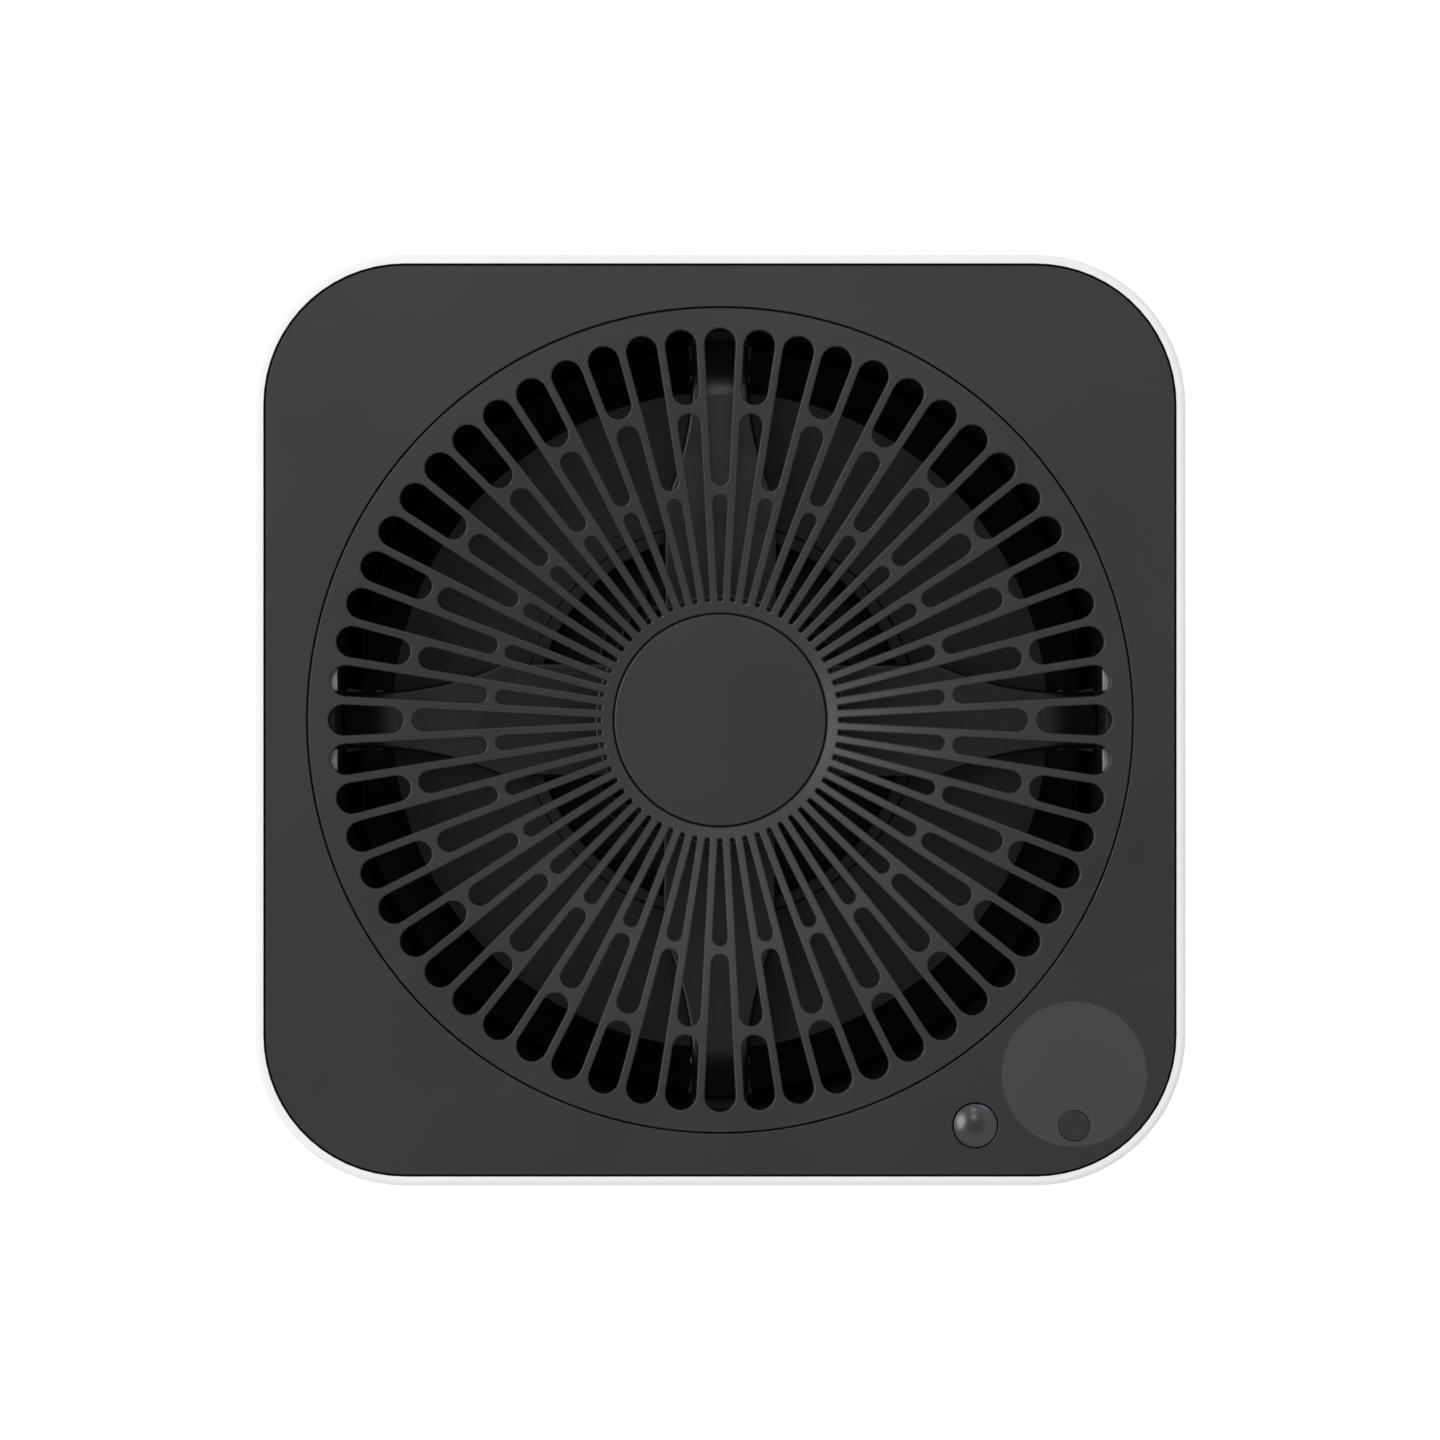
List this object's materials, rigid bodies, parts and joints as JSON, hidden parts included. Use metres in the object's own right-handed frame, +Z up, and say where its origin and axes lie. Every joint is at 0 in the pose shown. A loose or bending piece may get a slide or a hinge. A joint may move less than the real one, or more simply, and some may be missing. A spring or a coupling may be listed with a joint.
{
  "type": "air purifier",
  "caption": "Square tower air purifier with a white housing, a black deck with a round dished outlet grille, intake grilles on its sides, and a tilting filter door at the back.",
  "frame": {"origin": "centre of the footprint, on the surface that the feet stand on", "axes": "+Z up, the front of the deck, with the button, towards -Y, the filter door towards +Y"},
  "size_m": [0.26, 0.26, 0.4818],
  "materials": {
    "white_housing": "fine moulded ABS, matte",
    "tray_plastic": "moulded ABS, matte",
    "black_deck": "fine spark-eroded texture, satin black",
    "status_inlay": "satin charcoal inlay",
    "smoked_button": "polished smoked acrylic",
    "sensor_window": "smoked acrylic",
    "duct_plastic": "moulded ABS, matte black",
    "impeller_plastic": "glass-filled nylon, matte black",
    "bracket_alloy": "die-cast, painted satin grey",
    "steel": "zinc-plated",
    "lamination": "stacked laminations",
    "magnet": "sintered",
    "copper_wire": "enamelled copper wire",
    "rubber": "moulded, matte",
    "foam": "closed-cell foam",
    "filter_paper": "pleated non-woven",
    "filter_plastic": "moulded PP",
    "strap": "woven tape",
    "circuit_board": "solder-masked glass epoxy",
    "inlet_plastic": "moulded nylon"
  },
  "bodies": {
    "housing": {"feet": "rubber", "base_tray": "tray_plastic", "base_screws": "steel", "power_inlet": "inlet_plastic", "power_board": "circuit_board", "filter_shelf": "tray_plastic", "housing_shell": "white_housing", "intake_panel_front": "white_housing", "intake_panel_left": "white_housing", "intake_panel_right": "white_housing", "sensor_vent": "white_housing", "dust_sensor": "duct_plastic", "door_magnets": "magnet", "filter_media": "filter_paper", "filter_bottom_cap": "filter_plastic", "filter_top_cap": "filter_plastic", "filter_seal": "foam", "filter_pull_tab": "strap", "fan_deck": "duct_plastic", "fan_deck_screws": "steel", "fan_duct": "duct_plastic", "motor_stator": "lamination", "motor_windings": "copper_wire", "motor_bearings": "steel", "motor_bracket": "bracket_alloy", "bracket_screws": "steel", "motor_screws": "steel", "top_deck": "black_deck", "deck_screws": "steel", "outlet_grille": "black_deck", "grille_clips": "steel", "centre_cap": "black_deck", "control_board": "circuit_board", "light_sensor_lens": "sensor_window", "status_disc": "status_inlay"},
    "fan_rotor": {"impeller": "impeller_plastic", "impeller_shroud": "impeller_plastic", "motor_shaft": "steel", "rotor_can": "steel", "rotor_magnets": "magnet"},
    "door": {"filter_door": "white_housing", "door_catch_plates": "steel"},
    "button": {"power_button": "smoked_button"}
  },
  "joints": [
    {"name": "impeller_spin", "type": "hinge", "parent": "housing", "child": "fan_rotor", "pos_m": [0, 0, 0.43], "axis": [0, 0, 1], "continuous": true},
    {"name": "door_tilt", "type": "hinge", "parent": "housing", "child": "door", "pos_m": [0, 0.1287, 0.0513], "axis": [-1, 0, 0], "range_deg": [0, 30]},
    {"name": "button_press", "type": "slide", "parent": "housing", "child": "button", "axis": [0, 0, -1], "range_m": [0, 0.0012], "stiffness_N_per_m": 400, "springref_m": -0.0005}
  ]
}
